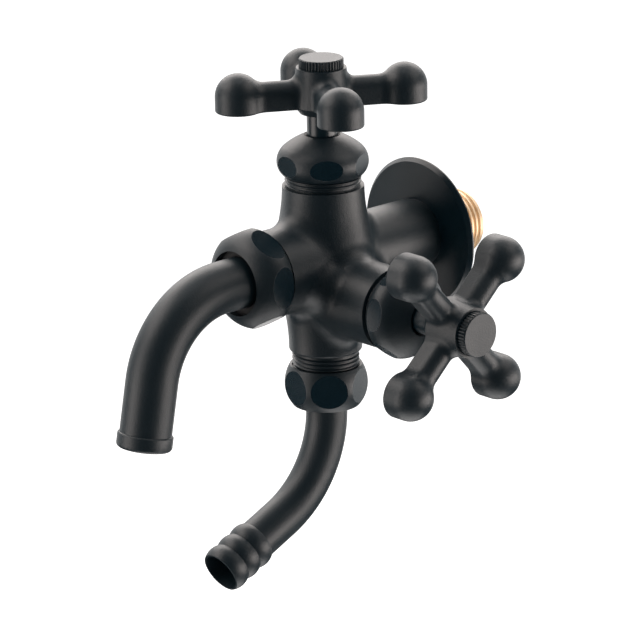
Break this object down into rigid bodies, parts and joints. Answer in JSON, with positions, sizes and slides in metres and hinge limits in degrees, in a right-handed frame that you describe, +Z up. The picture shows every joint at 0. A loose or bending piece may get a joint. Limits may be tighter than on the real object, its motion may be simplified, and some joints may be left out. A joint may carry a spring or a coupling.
{
  "type": "dual outlet wall tap",
  "caption": "Black wall tap with a vertical and a sideways screw-down valve, cross handles, a swivelling bent spout and a swivelling barbed hose tail.",
  "frame": {"origin": "centre of the inlet thread at the face of the wall", "axes": "+Y along the inlet into the wall, +Z up along the upper valve, +X along the side valve"},
  "size_m": [0.098, 0.1429, 0.1615],
  "materials": {
    "black_coat": "matte black coat",
    "brass": "turned",
    "seal_rubber": "matte",
    "slip_ring": "matte"
  },
  "bodies": {
    "tap": {"tap_body": "black_coat", "wall_flange": "black_coat", "top_cap_nut": "black_coat", "top_packing_washer": "brass", "top_packing": "seal_rubber", "side_cap_nut": "black_coat", "side_packing_washer": "brass", "side_packing": "seal_rubber", "spout_nut": "black_coat", "spout_packing": "seal_rubber", "spout_slip_ring": "slip_ring", "hose_nut": "black_coat", "hose_packing": "seal_rubber", "hose_slip_ring": "slip_ring"},
    "top_valve": {"top_jumper": "brass", "top_jumper_seal": "seal_rubber", "top_jumper_nut": "brass"},
    "top_control": {"top_spindle": "black_coat", "top_handle": "black_coat", "top_handle_screw": "black_coat"},
    "side_valve": {"side_jumper": "brass", "side_jumper_seal": "seal_rubber", "side_jumper_nut": "brass"},
    "side_control": {"side_spindle": "black_coat", "side_handle": "black_coat", "side_handle_screw": "black_coat"},
    "spout_arm": {"spout": "black_coat", "spout_tip_ring": "black_coat"},
    "hose_arm": {"hose_tail": "black_coat"}
  },
  "joints": [
    {"name": "top_valve_lift", "type": "slide", "parent": "tap", "child": "top_valve", "axis": [0, 0, 1], "range_m": [0, 0.0045]},
    {"name": "top_handle_turn", "type": "hinge", "parent": "top_valve", "child": "top_control", "pos_m": [0, -0.0412, 0], "axis": [0, 0, 1], "range_deg": [0, 540]},
    {"name": "side_valve_lift", "type": "slide", "parent": "tap", "child": "side_valve", "axis": [1, 0, 0], "range_m": [0, 0.0045]},
    {"name": "side_handle_turn", "type": "hinge", "parent": "side_valve", "child": "side_control", "pos_m": [0, -0.0412, -0.0096], "axis": [1, 0, 0], "range_deg": [0, 540]},
    {"name": "spout_swivel", "type": "hinge", "parent": "tap", "child": "spout_arm", "pos_m": [0, -0.0412, 0], "axis": [0, -1, 0], "continuous": true},
    {"name": "hose_swivel", "type": "hinge", "parent": "tap", "child": "hose_arm", "pos_m": [0, -0.0412, 0], "axis": [0, 0, -1], "range_deg": [-135, 135]}
  ],
  "couplings": [
    {"joint": "top_valve_lift", "follows": "top_handle_turn", "m_per_rad": 0.00047746},
    {"joint": "side_valve_lift", "follows": "side_handle_turn", "m_per_rad": 0.00047746}
  ]
}
